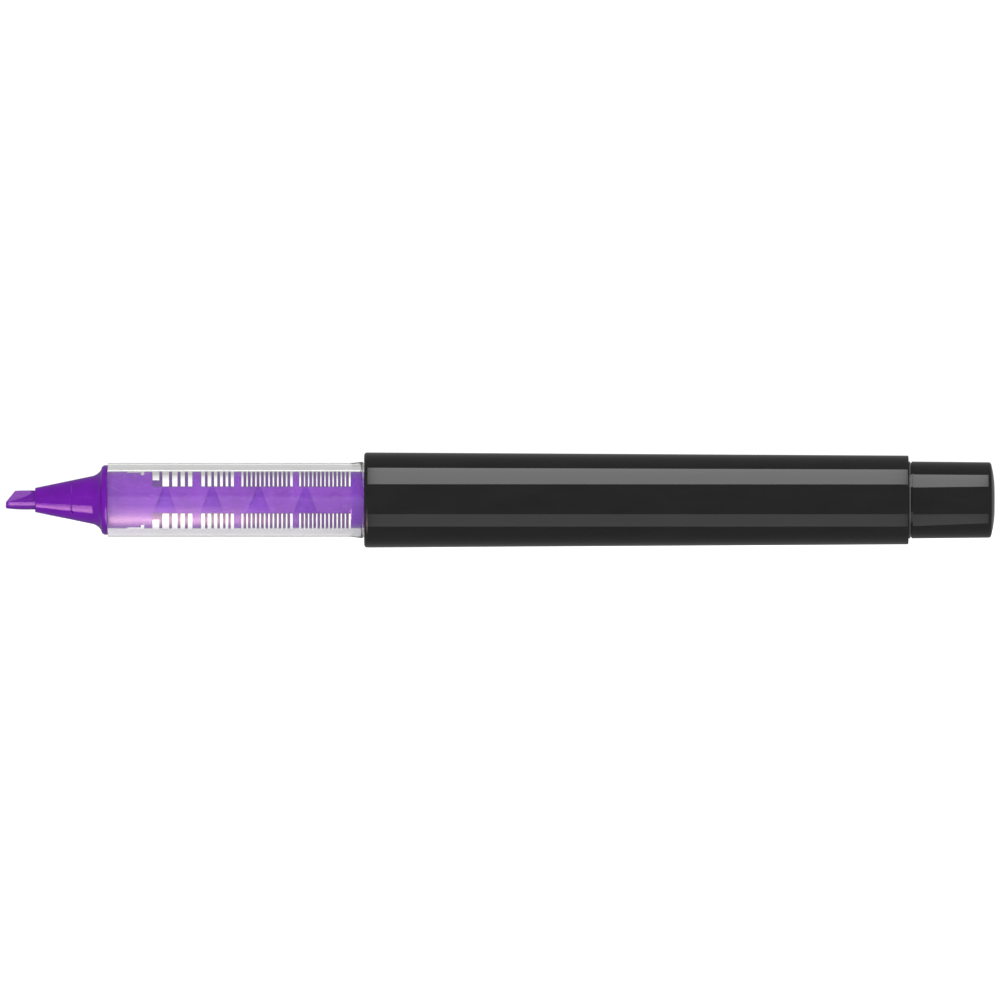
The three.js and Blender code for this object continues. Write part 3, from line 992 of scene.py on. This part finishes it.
def make_world():
    """A white sky, which is dimmer where something glossy mirrors it.

    Through the clear sleeve the sky is a backdrop that dims upwards. A ray that has been
    refracted twice and mirrored once has only been in the sleeve's wall, so it sees that too.
    Rays through the gap along the sleeve's bore are bent up the most, to where it is bright.
    """
    world = bpy.data.worlds.new("studio")
    world.use_nodes = True
    nodes, links = world.node_tree.nodes, world.node_tree.links
    path = nodes.new("ShaderNodeLightPath")

    def chosen(choice, if_not, if_so):
        mix = nodes.new("ShaderNodeMix")
        links.new(choice, mix.inputs["Factor"])
        for socket, level in (("A", if_not), ("B", if_so)):
            if isinstance(level, bpy.types.NodeSocket):
                links.new(level, mix.inputs[socket])
            else:
                mix.inputs[socket].default_value = level
        return mix.outputs["Result"]

    direction = nodes.new("ShaderNodeSeparateXYZ")
    links.new(nodes.new("ShaderNodeTexCoord").outputs["Generated"], direction.inputs["Vector"])

    def graded(heights, levels):
        mapped = nodes.new("ShaderNodeMapRange")
        for end, height, level in zip(("Min", "Max"), heights, levels):
            mapped.inputs["From " + end].default_value = height
            mapped.inputs["To " + end].default_value = level
        links.new(direction.outputs["Z"], mapped.inputs["Value"])
        return mapped.outputs["Result"]

    backdrop = graded(BACKDROP_HEIGHTS, BACKDROP_LEVELS)
    through = nodes.new("ShaderNodeMath")
    links.new(backdrop, through.inputs[0])
    links.new(graded(GAP_HEIGHTS, GAP_LEVELS), through.inputs[1])
    in_wall = nodes.new("ShaderNodeMath")
    in_wall.operation = "COMPARE"
    in_wall.inputs[1].default_value = WALL_REFRACTIONS
    links.new(path.outputs["Transmission Depth"], in_wall.inputs[0])
    direct = chosen(path.outputs["Is Transmission Ray"], SKY, through.outputs["Value"])
    mirrored_sky = chosen(in_wall.outputs["Value"], SKY_IN_REFLECTIONS, backdrop)
    strength = chosen(path.outputs["Glossy Depth"], direct, mirrored_sky)
    links.new(strength, nodes["Background"].inputs["Strength"])
    nodes["Background"].inputs["Color"].default_value = (1, 1, 1, 1)
    bpy.context.scene.world = world


def make_floor():
    surface = Surface("floor_paper", roughness=1, specular_ior_level=0)
    surface.shader.inputs["Emission Color"].default_value = (1, 1, 1, 1)
    surface.shader.inputs["Emission Strength"].default_value = FLOOR_GLOW
    grain = surface.noise(surface.stretched(0.05, 0.05, 0.05))
    surface.color(surface.ramp(grain, [(0.3, (0.93, 0.93, 0.93)), (0.7, (0.95, 0.95, 0.95))]))
    shape = bmesh.new()
    bmesh.ops.create_grid(shape, x_segments=1, y_segments=1, size=FLOOR_SIZE / 2 * MM)
    floor = piece("floor", shape, [surface.material])
    floor.location.z = -BARREL_MOUTH_RADIUS * MM
    floor.visible_glossy = False


def make_key_light():
    data = bpy.data.lights.new("key", "AREA")
    data.shape = "RECTANGLE"
    data.size, data.size_y = KEY_SIZE
    data.energy = KEY_POWER
    key = bpy.data.objects.new("key", data)
    key.location = KEY_PLACE
    key.rotation_euler = (-key.location).to_track_quat("-Z", "Y").to_euler()
    key.visible_camera = False
    key.visible_glossy = False
    key.visible_transmission = False
    bpy.context.scene.collection.objects.link(key)


def interpolated(stops, position):
    """Values at a position between stops, which are (position, value, value...) rows."""
    last = 1
    while last < len(stops) - 1 and stops[last][0] < position:
        last += 1
    before, after = stops[last - 1], stops[last]
    share = (position - before[0]) / (after[0] - before[0])
    return [a + (b - a) * share for a, b in zip(before[1:], after[1:])]


def mirrored(station, radius, taper, height):
    """Where on the cards' cylinder the camera sees a point of the pen's near side mirrored.

    taper is the angle by which the surface widens towards the rear.
    """
    turn = math.pi - math.asin(height / radius)
    point = around(station, radius, turn)
    normal = around(-math.sin(taper), math.cos(taper), turn)
    sight = (point - Vector((0, -CAMERA_DISTANCE, 0))).normalized()
    ray = sight.reflect(normal)
    across = Vector((ray.y, ray.z))
    start = Vector((point.y, point.z))
    along = start.dot(across)
    to_cylinder = CARD_DISTANCE**2 - start.length_squared
    reach = math.sqrt(along**2 + across.length_squared * to_cylinder) - along
    return point + ray * reach / across.length_squared


def card_light(name, color):
    """A material that shines as much as the mesh's glow attribute says."""
    material = bpy.data.materials.new(name)
    material.use_nodes = True
    nodes, links = material.node_tree.nodes, material.node_tree.links
    nodes.remove(nodes["Principled BSDF"])
    emission = nodes.new("ShaderNodeEmission")
    emission.inputs["Color"].default_value = (*color, 1)
    attribute = nodes.new("ShaderNodeAttribute")
    attribute.attribute_name = "glow"
    links.new(attribute.outputs["Fac"], emission.inputs["Strength"])
    links.new(emission.outputs["Emission"], nodes["Material Output"].inputs["Surface"])
    return material


def make_card(name, profile, edges, glow, color=(1, 1, 1), spread=(0, 0)):
    """A curved light card that puts a highlight on a stretch of the pen.

    profile holds (station, radius) at the stretch's two ends. edges holds (station, lowest,
    highest, share) rows, where the highlight lies as the camera sees it and how much of its
    light it has there. glow is the light at even steps from the lowest edge to the highest.
    spread makes the card longer at its two ends, for surfaces that blur what they mirror.
    """
    (start, start_radius), (end, end_radius) = profile
    taper = math.atan((end_radius - start_radius) / (end - start))
    levels = [(row / (len(glow) - 1), level) for row, level in enumerate(glow)]
    front, back = edges[0][0], edges[-1][0]
    places = [(front + (back - front) * i / CARD_COLUMNS, 0) for i in range(CARD_COLUMNS + 1)]
    if any(spread):
        places = [(front, -spread[0]), *places, (back, spread[1])]
    shape = bmesh.new()
    layer = shape.verts.layers.float.new("glow")
    columns = []
    for station, shift in places:
        (radius,) = interpolated(profile, station)
        lowest, highest, share = interpolated(edges, station)
        column = []
        for j in range(CARD_ROWS + 1):
            part = j / CARD_ROWS
            spot = mirrored(station, radius, taper, lowest + (highest - lowest) * part)
            vertex = shape.verts.new((spot + Vector((shift, 0, 0))) * MM)
            (level,) = interpolated(levels, part)
            vertex[layer] = level * share
            column.append(vertex)
        columns.append(column)
    for near, far in zip(columns, columns[1:]):
        for j in range(CARD_ROWS):
            shape.faces.new([near[j], near[j + 1], far[j + 1], far[j]])
    card = piece(name, shape, [card_light(name, color)])
    card.visible_camera = False
    card.visible_diffuse = False
    card.visible_shadow = False
    card.visible_transmission = False


def make_cards():
    """One card for every highlight that the pen shows from the front."""
    nib = [(TIP, NIB_RADIUS), (CONE_MOUTH, NIB_RADIUS)]
    cone = [(CONE_MOUTH, CONE_MOUTH_RADIUS), (CONE_ROOT, CONE_ROOT_RADIUS)]
    sleeve = [(SLEEVE_FRONT, SLEEVE_RADIUS), (SLEEVE_FLARE_BACK, SLEEVE_RADIUS)]
    barrel = [(BARREL_FRONT, BARREL_MOUTH_RADIUS), (BARREL_BACK, BARREL_END_RADIUS)]
    plug = [(PLUG_SHOULDER, PLUG_SHOULDER_RADIUS), (REAR, PLUG_END_RADIUS)]
    make_card(
        "nib_card",
        nib,
        [(TIP, -0.7, -0.27, 1), (CONE_MOUTH, -0.74, -0.35, 1)],
        [12, 12],
        color=(1, 0.45, 0.95),
        spread=(12, 5),
    )
    make_card(
        "cone_card",
        cone,
        [(CONE_MOUTH, -0.95, -0.68, 1), (CONE_GLOW_BEND, -1.5, -0.8, 1), (CONE_ROOT, -1.75, -0.8, 1)],
        [9.5, 9.5],
        color=(1, 0.49, 0.72),
        spread=(20, 20),
    )
    make_card(
        "sleeve_card",
        sleeve,
        [(station, -3.75, 1, share) for station, share in SLEEVE_GLOW_SHARES],
        [0, 3, 8.5, 13.3, 13, 9.5, 6.5, 4.5, 3.6, 2.2, 1.2, 0.9, 0.7, 0.5, 0.35, 0.2, 0],
        color=(1, 0.66, 0.62),
    )
    make_card(
        "upper_card",
        barrel,
        [(BARREL_SHINE_FRONT, 2.157, 4.395, 1), (BARREL_BACK, 2.13, 4.15, 1)],
        UPPER_GLOW,
    )
    make_card(
        "lower_card",
        barrel,
        [(BARREL_SHINE_FRONT, -3.62, -1.94, 1), (BARREL_BACK, -3.62, -1.94, 1)],
        LOWER_GLOW,
    )
    make_card(
        "upper_plug_card",
        plug,
        [(PLUG_SHOULDER, 1.69, 3.48, 1), (REAR, 1.84, 3.41, 1)],
        UPPER_GLOW,
    )
    make_card(
        "lower_plug_card",
        plug,
        [(PLUG_SHOULDER, -3.58, -1.98, 1), (REAR, -3.15, -1.91, 1)],
        LOWER_GLOW,
    )


make_camera()
make_world()
make_floor()
make_key_light()
make_cards()
make_pieces()
bpy.context.scene.view_settings.view_transform = "Standard"
